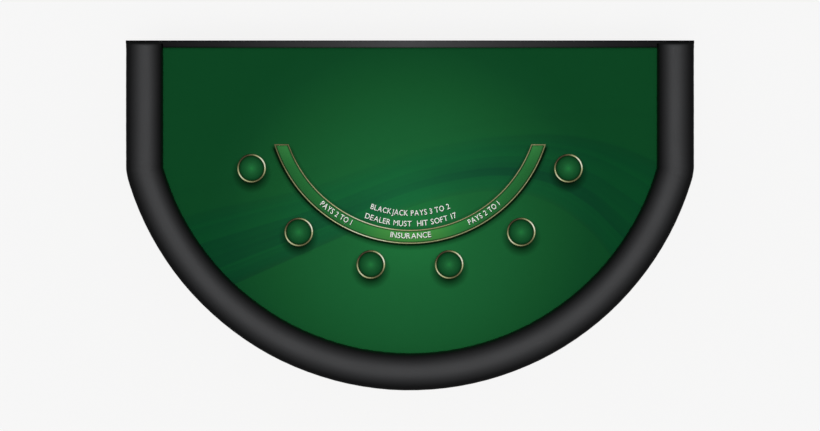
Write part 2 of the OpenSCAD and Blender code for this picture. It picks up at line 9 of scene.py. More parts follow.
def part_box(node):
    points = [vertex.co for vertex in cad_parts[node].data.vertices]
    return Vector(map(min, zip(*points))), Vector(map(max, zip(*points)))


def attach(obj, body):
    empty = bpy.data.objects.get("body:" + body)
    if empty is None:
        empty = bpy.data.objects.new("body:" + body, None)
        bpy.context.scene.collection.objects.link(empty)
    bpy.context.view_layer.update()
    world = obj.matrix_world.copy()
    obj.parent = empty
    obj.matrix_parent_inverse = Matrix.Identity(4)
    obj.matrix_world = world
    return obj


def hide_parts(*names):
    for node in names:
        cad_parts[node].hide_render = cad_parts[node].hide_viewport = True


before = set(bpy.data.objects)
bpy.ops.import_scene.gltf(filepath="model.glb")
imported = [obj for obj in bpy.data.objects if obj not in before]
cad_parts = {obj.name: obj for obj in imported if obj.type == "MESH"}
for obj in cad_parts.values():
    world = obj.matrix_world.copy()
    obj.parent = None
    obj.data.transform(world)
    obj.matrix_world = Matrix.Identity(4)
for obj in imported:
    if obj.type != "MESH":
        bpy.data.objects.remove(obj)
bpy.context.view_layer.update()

MM = 0.001

# -------- sizes, from the frame

cover_low, cover_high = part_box("armrest_cover_right")
front_low, front_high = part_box("armrest_cover_front")
rail_low, rail_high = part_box("dealer_rail")

HALF_W = cover_high.x
KINK_Y = cover_low.y
RAIL_Y = rail_low.y
LAP_Y = cover_high.y        # the armrest's ends lap over the dealer rail this far
FRONT_Y = front_low.y
ARMREST_W = HALF_W - cover_low.x
CLOTH_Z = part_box("playing_cloth")[1].z
CLOTH_T = CLOTH_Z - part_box("playing_cloth")[0].z
DECK_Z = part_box("deck_board")[0].z
DECK_INSET = HALF_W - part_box("deck_board")[1].x
CLOTH_INSET = HALF_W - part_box("playing_cloth")[1].x
COVER_T = DECK_Z - front_low.z
CROWN_Z = front_high.z
BASE_TOP_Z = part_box("armrest_base_front")[1].z
BASE_INSET_IN = HALF_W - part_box("armrest_base_right")[0].x

SAG = KINK_Y - FRONT_Y
ARC_R = (HALF_W ** 2 + SAG ** 2) / (2 * SAG)
ARC_Y = FRONT_Y + ARC_R

RINGS = [sum(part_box(f"betting_ring_{k}"), Vector()) / 2 for k in range(1, 7)]
RING_R = (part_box("betting_ring_1")[1].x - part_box("betting_ring_1")[0].x) / 2
RING_REACH = [(Vector((RINGS[k].x, RINGS[k].y)) - Vector((0, ARC_Y))).length for k in (3, 4, 5)]
RING_STEP = 2 * math.asin(RINGS[3].x / RING_REACH[0])

border_low, border_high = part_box("insurance_border")
BAND_DEPTH = border_high.y - border_low.y
BAND_R = (border_high.x ** 2 + BAND_DEPTH ** 2) / (2 * BAND_DEPTH)
BAND_Y = border_low.y + BAND_R
# Widths of the band with its border, of a ring's line and of the border's line
BAND_W = 49.5 * MM
RING_LINE = 6.6 * MM
BORDER_LINE = 5 * MM
BAND_MID_R = BAND_R - BAND_W / 2


def srgb(r, g, b):
    """A colour from 0 to 255 as linear red, green, blue and alpha."""
    def linear(v):
        v /= 255
        return v / 12.92 if v <= 0.04045 else ((v + 0.055) / 1.055) ** 2.4
    return (linear(r), linear(g), linear(b), 1.0)


# -------- camera, lights and floor

VIEW_W = 2.85811        # how much the camera sees at the height of the cloth, from side to side
SENSOR = 36.0
LENS = 200.0
CLIP_END = 200.0
FLOOR_R = 60.0
FLOOR_DROP = 0.5 * MM   # keeps the floor clear of the soles
# The sky's brightness at angles from overhead, in degrees
SKY_TOP, SKY_BOTTOM = 1.0, 0.2
SKY = [(8, 0.75), (18, 0.42), (34, 0.22), (66, 0.07), (96, 0.035), (150, 0.035)]
SKY_STRENGTH = 2.2
SUN_STRENGTH = 1.55
SUN_FROM = (0, -0.06, 1)
SUN_SPREAD = 12         # degrees


def make_camera():
    data = bpy.data.cameras.new("camera")
    data.sensor_width = SENSOR
    data.lens = LENS
    data.clip_end = CLIP_END
    camera = bpy.data.objects.new("camera", data)
    bpy.context.scene.collection.objects.link(camera)
    camera.location = (0, 0, CLOTH_Z + VIEW_W * LENS / SENSOR)
    bpy.context.scene.camera = camera


def make_world():
    """A soft studio sky: bright overhead, fading to the horizon."""
    world = bpy.data.worlds.new("studio")
    bpy.context.scene.world = world
    world.use_nodes = True
    nodes, links = world.node_tree.nodes, world.node_tree.links
    background = nodes["Background"]
    place = nodes.new("ShaderNodeTexCoord")
    split = nodes.new("ShaderNodeSeparateXYZ")
    angle = nodes.new("ShaderNodeMath")
    angle.operation = "ARCCOSINE"
    share = nodes.new("ShaderNodeMath")
    share.operation = "DIVIDE"
    share.inputs[1].default_value = math.pi
    ramp = nodes.new("ShaderNodeValToRGB")
    links.new(place.outputs["Generated"], split.inputs[0])
    links.new(split.outputs["Z"], angle.inputs[0])
    links.new(angle.outputs[0], share.inputs[0])
    links.new(share.outputs[0], ramp.inputs["Fac"])
    stops = ramp.color_ramp.elements
    stops[0].position, stops[0].color = 0.0, (SKY_TOP,) * 3 + (1,)
    stops[1].position, stops[1].color = 1.0, (SKY_BOTTOM,) * 3 + (1,)
    for degrees, level in SKY:
        stops.new(degrees / 180).color = (level, level, level, 1)
    links.new(ramp.outputs["Color"], background.inputs["Color"])
    background.inputs["Strength"].default_value = SKY_STRENGTH


def make_sun():
    """A broad light from nearly overhead, which no gloss mirrors."""
    data = bpy.data.lights.new("key", "SUN")
    data.energy = SUN_STRENGTH
    data.angle = math.radians(SUN_SPREAD)
    light = bpy.data.objects.new("key", data)
    light.rotation_euler = Vector(SUN_FROM).to_track_quat("Z", "Y").to_euler()
    light.visible_glossy = False
    bpy.context.scene.collection.objects.link(light)


def make_stage():
    """A pale floor, and a pale dome behind it that only the camera sees."""
    bpy.ops.mesh.primitive_circle_add(vertices=96, radius=FLOOR_R, fill_type="NGON",
                                      location=(0, 0, -FLOOR_DROP))
    floor = bpy.context.object
    floor.name = "floor"
    floor.data.materials.append(pale_material("floor_paint", 0.833, 0.10))
    floor.visible_glossy = False
    bpy.ops.mesh.primitive_uv_sphere_add(segments=64, ring_count=32, radius=FLOOR_R)
    dome = bpy.context.object
    dome.name = "dome"
    dome.data.materials.append(pale_material("dome_paint", 0.93, 0.0))
    for ray in ("diffuse", "glossy", "transmission", "shadow"):
        setattr(dome, f"visible_{ray}", False)


def pale_material(name, glow, albedo):
    """A matt white that glows evenly, so that shadows on it stay soft."""
    material = bpy.data.materials.new(name)
    material.use_nodes = True
    shader = material.node_tree.nodes["Principled BSDF"]
    shader.inputs["Base Color"].default_value = (albedo, albedo, albedo, 1)
    shader.inputs["Roughness"].default_value = 0.9
    shader.inputs["Specular IOR Level"].default_value = 0.0
    shader.inputs["Emission Color"].default_value = (1, 1, 1, 1)
    shader.inputs["Emission Strength"].default_value = glow
    return material


# -------- shader building


class Paint:
    """A Principled material, and short calls that add nodes to it, from numbers or sockets."""

    def __init__(self, name, **sockets):
        self.material = bpy.data.materials.new(name)
        self.material.use_nodes = True
        self.tree = self.material.node_tree
        self.shader = self.tree.nodes["Principled BSDF"]
        for key, value in sockets.items():
            self.set(key.replace("_", " "), value)
        self.place = self.node("TexCoord")
        self.object = self.place.outputs["Object"]
        self.x, self.y, self.z = self.parts(self.object)

    def put(self, socket, value):
        if isinstance(value, bpy.types.NodeSocket):
            self.tree.links.new(value, socket)
        else:
            socket.default_value = value

    def set(self, key, value):
        self.put(self.shader.inputs[key], value)

    def node(self, kind, **inputs):
        node = self.tree.nodes.new("ShaderNode" + kind)
        for key, value in inputs.items():
            self.put(node.inputs[key.replace("_", " ")], value)
        return node

    def parts(self, vector):
        return self.node("SeparateXYZ", Vector=vector).outputs

    def math(self, operation, a, b=0.0, c=0.0, clamp=False):
        node = self.node("Math")
        node.operation = operation
        node.use_clamp = clamp
        for socket, value in zip(node.inputs, (a, b, c)):
            self.put(socket, value)
        return node.outputs[0]

    def times(self, a, b):
        return self.math("MULTIPLY", a, b)

    def over(self, a, b, clamp=False):
        return self.math("DIVIDE", a, b, clamp=clamp)

    def plus(self, a, b):
        return self.math("ADD", a, b)

    def minus(self, a, b):
        return self.math("SUBTRACT", a, b)

    def fit(self, value, factor, offset, clamp=False):
        return self.math("MULTIPLY_ADD", value, factor, offset, clamp)

    def size(self, a):
        return self.math("ABSOLUTE", a)

    def step(self, value, low, high):
        """0 at low, 1 at high, and smooth between them."""
        node = self.node("MapRange", Value=value, From_Min=low, From_Max=high)
        node.interpolation_type = "SMOOTHSTEP"
        return node.outputs["Result"]

    def spread(self, value, low, high):
        """value, from 0 to 1, as low to high."""
        return self.fit(value, high - low, low)

    def length(self, a, b):
        return self.math("SQRT", self.plus(self.times(a, a), self.times(b, b)))

    def ramp(self, fac, stops):
        node = self.node("ValToRGB", Fac=fac)
        elements = node.color_ramp.elements
        elements[0].position, elements[0].color = stops[0]
        elements[1].position, elements[1].color = stops[-1]
        for position, color in stops[1:-1]:
            elements.new(position).color = color
        return node.outputs["Color"]

    def curve(self, value, points):
        """A smooth curve through (value, result) points, both from 0 to 1."""
        node = self.node("FloatCurve", Value=value)
        curve = node.mapping.curves[0]
        curve.points[0].location = points[0]
        curve.points[1].location = points[-1]
        for p in points[1:-1]:
            curve.points.new(*p)
        node.mapping.update()
        return node.outputs[0]

    def shaded(self, color, shares):
        """A colour times a share for each of red, green and blue."""
        tone = self.node("CombineColor")
        for socket, share in zip(tone.inputs, shares):
            self.put(socket, share)
        return self.mix(1.0, color, tone.outputs[0], "MULTIPLY")

    def mix(self, fac, a, b, blend="MIX"):
        node = self.node("Mix")
        node.data_type = "RGBA"
        node.blend_type = blend
        for index, value in ((0, fac), (6, a), (7, b)):
            self.put(node.inputs[index], value)
        return node.outputs[2]

    def scaled(self, scale):
        return self.node("Mapping", Scale=scale, Vector=self.object).outputs[0]

    def noise(self, scale, detail=2.0, vector=None, rough=0.5):
        return self.node("TexNoise", Scale=scale, Detail=detail, Roughness=rough,
                         Vector=vector or self.object).outputs["Fac"]

    def cells(self, scale, feature="F1"):
        node = self.node("TexVoronoi", Scale=scale, Vector=self.object)
        node.feature = feature
        return node.outputs["Distance"]

    def edges(self, reach):
        """0 on a face and 1 on its edges. reach is how far an edge counts, in metres."""
        rounded = self.node("Bevel", Radius=reach)
        rounded.samples = 6
        both = self.node("VectorMath")
        both.operation = "DOT_PRODUCT"
        self.put(both.inputs[0], rounded.outputs[0])
        self.put(both.inputs[1], self.node("NewGeometry").outputs["Normal"])
        return self.step(both.outputs["Value"], 0.995, 0.93)

    def bump(self, height, distance, strength=1.0, under=None):
        node = self.node("Bump", Height=height, Distance=distance, Strength=strength)
        if under:
            self.put(node.inputs["Normal"], under)
        return node.outputs[0]


# -------- materials: the printed cloth

# The swoosh across the cloth: its lower and upper edge, as shares of the table's width and depth
SWOOSH_LOW = [(0.0, 0.17), (0.15, 0.27), (0.2, 0.307), (0.385, 0.44), (0.5, 0.52), (0.59, 0.557),
              (0.66, 0.566), (0.73, 0.544), (0.81, 0.462), (0.86, 0.366), (0.94, 0.19), (1.0, 0.05)]
SWOOSH_HIGH = [(0.0, 0.44), (0.1, 0.5), (0.22, 0.547), (0.32, 0.583), (0.41, 0.633), (0.5, 0.683),
               (0.59, 0.716), (0.68, 0.734), (0.76, 0.736), (0.83, 0.72), (0.9, 0.683), (1.0, 0.6)]
# Veils in the swoosh. Each has a crisp edge at a place between the two edges, and fades upwards
# (1) or downwards (-1). Then: how dark it is at the left and at the right, the width of the crisp
# edge, and the width of the fade
VEILS = [(0.00, 1, 0.18, 0.07, 0.007, 0.090),
         (0.12, 1, 0.03, 0.03, 0.008, 0.030),
         (0.20, 1, 0.06, 0.05, 0.010, 0.060),
         (0.24, 1, -0.08, 0.00, 0.006, 0.018),
         (0.27, 1, 0.11, 0.15, 0.008, 0.085),
         (0.37, 1, 0.03, 0.03, 0.008, 0.020),
         (0.45, -1, 0.05, 0.09, 0.008, 0.060),
         (0.54, -1, 0.05, 0.04, 0.010, 0.050),
         (0.64, -1, 0.13, 0.09, 0.007, 0.090),
         (0.82, -1, 0.03, 0.05, 0.010, 0.050),
         (0.80, 1, -0.06, -0.05, 0.010, 0.035),
         (0.90, -1, 0.03, 0.03, 0.006, 0.030),
         (1.00, -1, 0.07, 0.10, 0.014, 0.110),
         (1.30, -1, 0.02, 0.02, 0.010, 0.060)]
GLOW_Y = -0.034         # middle of the lighter patch
GLOW_REACH = 0.75
# A printed shadow: how far it falls towards the players, how far past its shape's edge it fades
# out, and how far inside the edge it is full
RING_SHADOW = (0.017, 0.020, -0.018)
BAND_SHADOW = (0.009, 0.015, -0.012)
SHADOW_DEPTH = 0.97
RING_GLOW_EDGE = 6 * MM     # the glow in a ring ends this far inside the ring's outer edge


def swoosh(paint):
    """How dark the swoosh is, from 0 to about 0.3, and whether a point is in it, from 0 to 1."""
    across = paint.fit(paint.x, 0.5 / HALF_W, 0.5)
    depth = 2 * rail_high.y

    def edge(points):
        return paint.fit(paint.curve(across, points), depth, -depth / 2)

    low = edge(SWOOSH_LOW)
    rise = paint.minus(edge(SWOOSH_HIGH), low)
    above = paint.minus(paint.y, low)
    right = paint.step(paint.x, -0.3, 0.4)
    total = 0.0
    for place, way, dark_left, dark_right, sharp, fade in VEILS:
        d = paint.minus(above, paint.times(rise, place))
        if way < 0:
            d = paint.times(d, -1.0)
        veil = paint.times(paint.step(d, 0.0, sharp), paint.step(d, fade, 0.0))
        dark = paint.spread(right, dark_left, dark_right)
        total = paint.fit(veil, dark, total)
    outer = paint.step(paint.size(paint.x), 0.0, 0.45)
    dark = paint.times(total, paint.spread(outer, 0.9, 1.45))
    inside = paint.times(paint.step(above, 0.0, 0.03),
                         paint.step(paint.minus(above, rise), 0.02, -0.06))
    return dark, inside


def ring_offset(paint):
    """x and y from the middle of the nearest betting ring."""
    ahead = paint.minus(ARC_Y, paint.y)
    angle = paint.math("ARCTAN2", paint.x, ahead)
    number = paint.plus(paint.math("FLOOR", paint.over(angle, RING_STEP)), 0.5)
    number = paint.math("MAXIMUM", paint.math("MINIMUM", number, 2.5), -2.5)
    turn = paint.times(number, RING_STEP)
    pair = paint.size(number)
    reach = RING_REACH[0]
    for k in (1, 2):
        beyond = paint.math("GREATER_THAN", pair, float(k))
        reach = paint.fit(beyond, RING_REACH[k] - RING_REACH[k - 1], reach)
    dx = paint.minus(paint.x, paint.times(paint.math("SINE", turn), reach))
    dy = paint.minus(paint.times(paint.math("COSINE", turn), reach), ahead)
    return dx, dy


def shadow(paint, distance, fade):
    """A printed shadow's darkness at a distance from its shape's edge."""
    _, out, full = fade
    near = paint.over(paint.minus(out, distance), out - full, clamp=True)
    return paint.times(near, SHADOW_DEPTH)


def cloth_material():
    paint = Paint("printed_felt", Roughness=0.92, Sheen_Weight=0.03, Sheen_Roughness=0.5,
                  Specular_IOR_Level=0.04)
    reach = paint.length(paint.x, paint.minus(paint.y, GLOW_Y))
    green = paint.ramp(paint.over(reach, GLOW_REACH), [
        (0.0, srgb(31, 113, 57)), (0.14, srgb(30, 108, 56)), (0.28, srgb(27, 98, 51)),
        (0.47, srgb(24, 91, 47)), (0.65, srgb(20, 82, 41)), (0.84, srgb(14, 71, 36)),
        (0.95, srgb(12, 69, 34))])
    dark, inside = swoosh(paint)
    # The veils darken green most, and red falls all over the swoosh
    green = paint.shaded(green, [
        paint.times(paint.minus(1.0, paint.times(dark, share)), paint.spread(inside, 1.0, 1.0 + tint))
        for share, tint in ((0.6, -0.26), (1.0, 0.0), (0.30, 0.06))])

    # Betting rings: a printed shadow outside, a glow inside
    dx, dy = ring_offset(paint)
    lit = paint.ramp(paint.over(paint.length(dx, dy), RING_R - RING_GLOW_EDGE), [
        (0.0, srgb(35, 117, 58)), (0.16, srgb(31, 105, 54)), (0.32, srgb(28, 95, 50)),
        (0.48, srgb(24, 86, 44)), (0.64, srgb(20, 79, 40)), (0.8, srgb(15, 70, 35)),
        (0.9, srgb(11, 58, 27)), (1.0, srgb(6, 36, 12))])
    fallen = paint.length(dx, paint.plus(dy, RING_SHADOW[0]))
    ring_dark = shadow(paint, paint.minus(fallen, RING_R), RING_SHADOW)

    # Insurance band: its shadow falls outwards and down
    by = paint.plus(paint.y, BAND_SHADOW[0] - BAND_Y)
    radius = paint.length(paint.x, by)
    off = paint.size(paint.minus(radius, BAND_MID_R))
    band_dark = shadow(paint, paint.minus(off, BAND_W / 2), BAND_SHADOW)
    # and a crisp dark line runs along its outer edge, with a faint one along its inner edge
    out = paint.minus(paint.length(paint.x, paint.minus(paint.y, BAND_Y)), BAND_MID_R)
    past = paint.minus(paint.size(out), BAND_W / 2)
    line = paint.times(paint.step(past, 0.013, 0.004),
                       paint.spread(paint.step(out, -0.001, 0.001), 0.22, 0.93))
    band_dark = paint.math("MAXIMUM", band_dark, line)
    under = paint.step(paint.y, border_high.y + 0.002, border_high.y - 0.02)
    band_dark = paint.times(band_dark, under)

    keep = paint.times(paint.minus(1.0, ring_dark), paint.minus(1.0, band_dark))
    black = srgb(1, 8, 1)
    green = paint.mix(keep, black, green)
    within = paint.step(paint.length(dx, dy), RING_R - 0.003, RING_R - 0.005)
    green = paint.mix(within, green, lit)

    # Nap: fine mottling and short fibres
    mottle = paint.noise(38, 3)
    fibres = paint.noise(1500, 2, paint.scaled((1, 0.6, 1)))
    weave = paint.noise(420, 2)
    tone = paint.plus(paint.spread(mottle, 0.975, 1.025), paint.spread(fibres, -0.09, 0.09))
    paint.set("Base Color", paint.shaded(green, [tone] * 3))
    paint.set("Roughness", paint.spread(weave, 0.86, 0.98))
    nap = paint.bump(fibres, 0.0003, 0.6)
    paint.set("Normal", paint.bump(weave, 0.0005, 0.35, nap))
    return paint.material


def band_material():
    paint = Paint("band_felt", Roughness=0.9, Sheen_Weight=0.08, Specular_IOR_Level=0.15)
    ahead = paint.minus(BAND_Y, paint.y)
    angle = paint.size(paint.math("ARCTAN2", paint.x, ahead))
    green = paint.ramp(paint.over(angle, math.radians(80)), [
        (0.0, srgb(66, 140, 62)), (0.15, srgb(60, 134, 61)), (0.26, srgb(42, 123, 58)),
        (0.4, srgb(37, 108, 51)), (0.62, srgb(33, 101, 49)), (0.76, srgb(34, 103, 49)),
        (0.9, srgb(50, 122, 60))])
    out = paint.minus(paint.length(paint.x, ahead), BAND_MID_R)
    light = paint.spread(paint.step(out, -BAND_W / 2, BAND_W / 2), 1.13, 0.85)
    # The border's printed shade along both edges
    rim = BAND_W / 2 - BORDER_LINE
    shade = paint.step(paint.size(out), rim - 5.5 * MM, rim - 0.5 * MM)
    light = paint.times(light, paint.spread(shade, 1.0, 0.35))
    mottle = paint.times(light, paint.spread(paint.noise(900, 2), 0.9, 1.1))
    paint.set("Base Color", paint.shaded(green, [mottle] * 3))
    paint.set("Normal", paint.bump(paint.noise(1500, 2), 0.0003, 0.5))
    return paint.material


# Painted highlight on the band's border: how pale it is, by its angle: 0 is a quarter turn to the
# left, 1 to the right
BORDER_HIGHLIGHT = [(0.0, 0.2), (0.11, 0.25), (0.17, 0.38), (0.22, 0.46), (0.33, 0.66), (0.39, 0.76),
                (0.46, 0.66), (0.5, 0.54), (0.61, 0.45), (0.78, 0.43), (0.84, 0.43), (0.89, 0.36),
                (1.0, 0.25)]


def gilt_material(name, around_ring):
    """Gilt with painted highlights (pale) and painted shade (brown), by the angle round a ring or
    along the band.
    """
    paint = Paint(name, Metallic=0.85, Roughness=0.34)
    if around_ring:
        centred = paint.node("VectorMath")
        centred.operation = "SUBTRACT"
        paint.put(centred.inputs[0], paint.place.outputs["Generated"])
        paint.put(centred.inputs[1], (0.5, 0.5, 0.5))
        x, y, _ = paint.parts(centred.outputs[0])
        angle = paint.math("ARCTAN2", y, x)
        reach = paint.times(paint.length(x, y), 2 * RING_R)
        off = paint.size(paint.minus(reach, RING_R - RING_LINE / 2))
        rim = paint.step(off, RING_LINE * 0.28, RING_LINE * 0.46)
        # Painted highlights, pale towards the upper right and lower left, and painted shade, brown
        # towards the upper left
        pale = paint.math("COSINE", paint.times(paint.minus(angle, math.radians(35)), 2))
        brown = paint.math("COSINE", paint.minus(angle, math.radians(150)))
        level = paint.fit(pale, 0.36, 0.42)
        level = paint.fit(brown, -0.16, level)
    else:
        ahead = paint.minus(BAND_Y, paint.y)
        angle = paint.math("ARCTAN2", paint.x, ahead)
        # Painted highlights and shade along the border, by its angle
        level = paint.curve(paint.fit(angle, 1 / math.pi, 0.5), BORDER_HIGHLIGHT)
        reach = paint.minus(paint.length(paint.x, ahead), BAND_MID_R)
        off = paint.size(paint.minus(paint.size(reach), (BAND_W - BORDER_LINE) / 2))
        end = paint.size(paint.minus(paint.y, border_high.y - BORDER_LINE / 2))
        rim = paint.step(paint.math("MINIMUM", off, end), BORDER_LINE * 0.28, BORDER_LINE * 0.46)
    level = paint.plus(level, paint.spread(paint.noise(60, 2), -0.08, 0.08))
    # From painted shade in dark brown to a near-white painted highlight
    gold = paint.ramp(level, [
        (0.0, srgb(62, 56, 36)), (0.3, srgb(107, 107, 71)), (0.65, srgb(174, 178, 131)),
        (1.0, srgb(252, 254, 238))])
    # Painted shade darkens the line's flanks
    paint.set("Base Color", paint.mix(paint.times(rim, 0.75), gold, srgb(34, 24, 12)))
    paint.set("Roughness", paint.spread(paint.noise(700, 2), 0.28, 0.42))
    paint.set("Normal", paint.bump(paint.noise(900, 2), 0.00005, 0.5))
    return paint.material


def ink_material(name, color):
    paint = Paint(name, Roughness=0.7, Specular_IOR_Level=0.2)
    worn = paint.spread(paint.noise(700, 3), 0.0, 0.35)
    paint.set("Base Color", paint.mix(worn, color, tuple(0.7 * c for c in color[:3]) + (1.0,)))
    paint.set("Normal", paint.bump(paint.noise(1300, 2), 0.0001, 0.5))
    return paint.material


# -------- materials: structure


def vinyl_material():
    paint = Paint("black_vinyl", Specular_IOR_Level=0.5, Specular_Tint=(0.965, 0.975, 1.0, 1.0))
    tone = paint.noise(9, 3)
    # The crown is a little paler than the sides: partly polish from wear, partly a painted highlight
    height = paint.step(paint.z, CROWN_Z - 0.012, CROWN_Z)
    base = paint.mix(height, srgb(7, 7, 8), srgb(15, 15, 17))
    paint.set("Base Color", paint.mix(paint.spread(tone, 0.0, 0.5), base, srgb(10, 10, 10)))
    pebbles = paint.cells(950, feature="SMOOTH_F1")
    pores = paint.noise(2600, 2)
    creases = paint.noise(160, 4, rough=0.65)
    both = paint.plus(paint.times(tone, 0.5), paint.times(creases, 0.5))
    paint.set("Roughness", paint.spread(both, 0.24, 0.36))
    grain = paint.bump(pebbles, 0.00025, 0.4)
    grain = paint.bump(pores, 0.00008, 0.4, grain)
    paint.set("Normal", paint.bump(creases, 0.0004, 0.22, grain))
    return paint.material


def lacquer_material(name, painted_highlight=False):
    """Black satin lacquer over close-grained wood. The second argument paints a highlight into its
    colour: grey at the table's middle, black at its ends.
    """
    gloss = dict(Specular_IOR_Level=0.05) if painted_highlight else dict(Coat_Weight=0.2, Coat_Roughness=0.24)
    paint = Paint(name, **gloss)
    grain = paint.noise(14, 4, paint.scaled((1.0, 1.0, 14.0)), 0.6)
    if painted_highlight:
        # Painted highlight: grey at the table's middle, fading to black towards its ends
        across = paint.over(paint.size(paint.x), HALF_W)
        base = paint.ramp(across, [(0.0, srgb(72, 72, 74)), (0.35, srgb(51, 51, 52)),
                                   (0.67, srgb(29, 29, 31)), (0.95, srgb(4, 4, 5))])
        base = paint.mix(paint.spread(grain, 0.0, 0.3), base, srgb(8, 8, 8))
    else:
        base = paint.mix(grain, srgb(17, 17, 18), srgb(27, 27, 29))
        # Feet and passing shoes rub the lacquer near the floor
        low = paint.step(paint.z, 0.16, 0.05)
        rubbed = paint.step(paint.noise(34, 5, rough=0.7), 0.54, 0.66)
        base = paint.mix(paint.times(paint.times(low, rubbed), 0.3), base, srgb(66, 62, 58))
        # Handling wears it thin along its edges, here more than there
        patchy = paint.step(paint.noise(22, 4, rough=0.7), 0.36, 0.62)
        worn = paint.times(paint.edges(2.2 * MM), patchy)
        base = paint.mix(paint.times(worn, 0.75), base, srgb(92, 80, 66))
    paint.set("Base Color", base)
    paint.set("Roughness", paint.spread(paint.noise(40, 3), 0.26, 0.40))
    peel = paint.bump(paint.noise(260, 2), 0.0003, 0.18)
    paint.set("Normal", paint.bump(grain, 0.0004, 0.25, peel))
    return paint.material


PLY_T = 1.75 * MM       # one ply of the plywood


def plywood_material():
    """Birch plywood: long grain on its faces, thin plies on its edges."""
    paint = Paint("birch_plywood", Specular_IOR_Level=0.3)
    grain = paint.noise(7, 5, paint.scaled((1.2, 16.0, 16.0)), 0.6)
    rings = paint.math("SINE", paint.times(grain, 46.0))
    figure = paint.fit(rings, 0.25, grain, clamp=True)
    face = paint.ramp(figure, [(0.25, srgb(216, 184, 138)), (0.6, srgb(198, 160, 112)),
                               (0.9, srgb(170, 128, 84))])
    ply = paint.math("PINGPONG", paint.z, PLY_T)
    stripe = paint.step(ply, 0.6 * MM, 1.2 * MM)
    edge = paint.mix(stripe, srgb(205, 170, 122), srgb(140, 100, 64))
    _, _, up = paint.parts(paint.node("NewGeometry").outputs["Normal"])
    flat = paint.step(paint.size(up), 0.4, 0.7)
    paint.set("Base Color", paint.mix(flat, edge, face))
    paint.set("Roughness", paint.spread(grain, 0.55, 0.75))
    paint.set("Normal", paint.bump(figure, 0.0004, 0.3))
    return paint.material


def hardwood_material():
    paint = Paint("oiled_beech", Specular_IOR_Level=0.35)
    grain = paint.noise(9, 5, paint.scaled((14.0, 1.2, 14.0)), 0.62)
    flecks = paint.noise(220, 2, paint.scaled((1.0, 0.12, 1.0)))
    brown = paint.ramp(grain, [(0.3, srgb(150, 104, 66)), (0.55, srgb(128, 84, 50)),
                               (0.8, srgb(98, 62, 36))])
    spots = paint.step(flecks, 0.60, 0.72)
    paint.set("Base Color", paint.mix(paint.times(spots, 0.5), brown, srgb(84, 52, 30)))
    paint.set("Roughness", paint.spread(grain, 0.45, 0.62))
    paint.set("Normal", paint.bump(grain, 0.0005, 0.35))
    return paint.material


def metal_material(name, color, rough, metallic=1.0):
    paint = Paint(name, Metallic=metallic)
    streaks = paint.noise(600, 3)
    blotch = paint.noise(60, 3)
    darker = tuple(0.72 * c for c in color[:3]) + (1.0,)
    paint.set("Base Color", paint.mix(paint.spread(blotch, 0.0, 0.6), color, darker))
    paint.set("Roughness", paint.spread(streaks, rough - 0.08, rough + 0.10))
    paint.set("Normal", paint.bump(streaks, 0.00006, 0.5))
    return paint.material


def rubber_material():
    paint = Paint("black_rubber", Specular_IOR_Level=0.3)
    dust = paint.noise(120, 4)
    paint.set("Base Color", paint.mix(dust, srgb(22, 22, 22), srgb(46, 45, 43)))
    paint.set("Roughness", paint.spread(dust, 0.7, 0.9))
    paint.set("Normal", paint.bump(paint.noise(900, 2), 0.0003, 0.5))
    return paint.material


def foam_material():
    paint = Paint("seat_foam", Specular_IOR_Level=0.1)
    holes = paint.cells(700)
    paint.set("Base Color", paint.mix(holes, srgb(196, 182, 132), srgb(226, 214, 170)))
    paint.set("Roughness", paint.spread(holes, 0.85, 1.0))
    paint.set("Normal", paint.bump(holes, 0.0008, 0.7))
    return paint.material


def dress(material, *names):
    """Gives CAD nodes a material. A name that ends in * stands for all that begin with it."""
    for name in names:
        for node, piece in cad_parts.items():
            if node == name or name[-1] == "*" and node.startswith(name[:-1]):
                piece.data.materials.clear()
                piece.data.materials.append(material)


# -------- mesh helpers


def mesh_object(name, vertices, faces, material, smooth=True):
    mesh = bpy.data.meshes.new(name)
    mesh.from_pydata([tuple(v) for v in vertices], [], faces)
    mesh.validate()
    piece = bpy.data.objects.new(name, mesh)
    bpy.context.scene.collection.objects.link(piece)
    mesh.materials.append(material)
    if smooth:
        mesh.polygons.foreach_set("use_smooth", [True] * len(mesh.polygons))
    return piece


def apply_modifiers(piece):
    """Replaces the piece's mesh by what its modifiers make of it."""
    bpy.context.view_layer.update()
    made = piece.evaluated_get(bpy.context.evaluated_depsgraph_get())
    mesh = bpy.data.meshes.new_from_object(made)
    piece.modifiers.clear()
    piece.data = mesh


def thicken(piece, thickness):
    """Makes a flat piece solid, downwards from its face."""
    solid = piece.modifiers.new("thickness", "SOLIDIFY")
    solid.thickness = thickness
    solid.offset = -1
    apply_modifiers(piece)


def smooth_by_angle(piece, degrees):
    """Smooth shading with edges sharper than an angle kept crisp."""
    mesh = bmesh.new()
    mesh.from_mesh(piece.data)
    limit = math.radians(degrees)
    for face in mesh.faces:
        face.smooth = True
    for edge in mesh.edges:
        edge.smooth = len(edge.link_faces) == 2 and edge.calc_face_angle(0) < limit
    mesh.to_mesh(piece.data)
    mesh.free()


# -------- armrest

CROWN_POWER = 2.3           # 2 is an ellipse, and more is squarer
SEAT_GAP = 0.3 * MM         # between the cover and the cloth
HEM_W = 34 * MM
CROWN_STEPS = 40
HEM_ROWS, WALL_ROWS, NOTCH_ROWS = 5, 3, 5   # points of the section in its hem, wall and notch
STATION_PITCH = 7 * MM      # between the sections along the armrest
CORNER_REACH = 14 * MM      # the cover rounds the mitre over this length each way
PUCKER_PITCH = 46 * MM      # one pucker for each staple
# How far the cover is uneven, is drawn in at its staples, is tucked at the mitres, settles, and
# is rounded at its two ends
UNEVEN, DRAWN, TUCKED, SETTLED, END_ROUND = 0.5 * MM, 0.3 * MM, 0.9 * MM, 1.0 * MM, 2.4 * MM
TUCK_REACH = 50 * MM


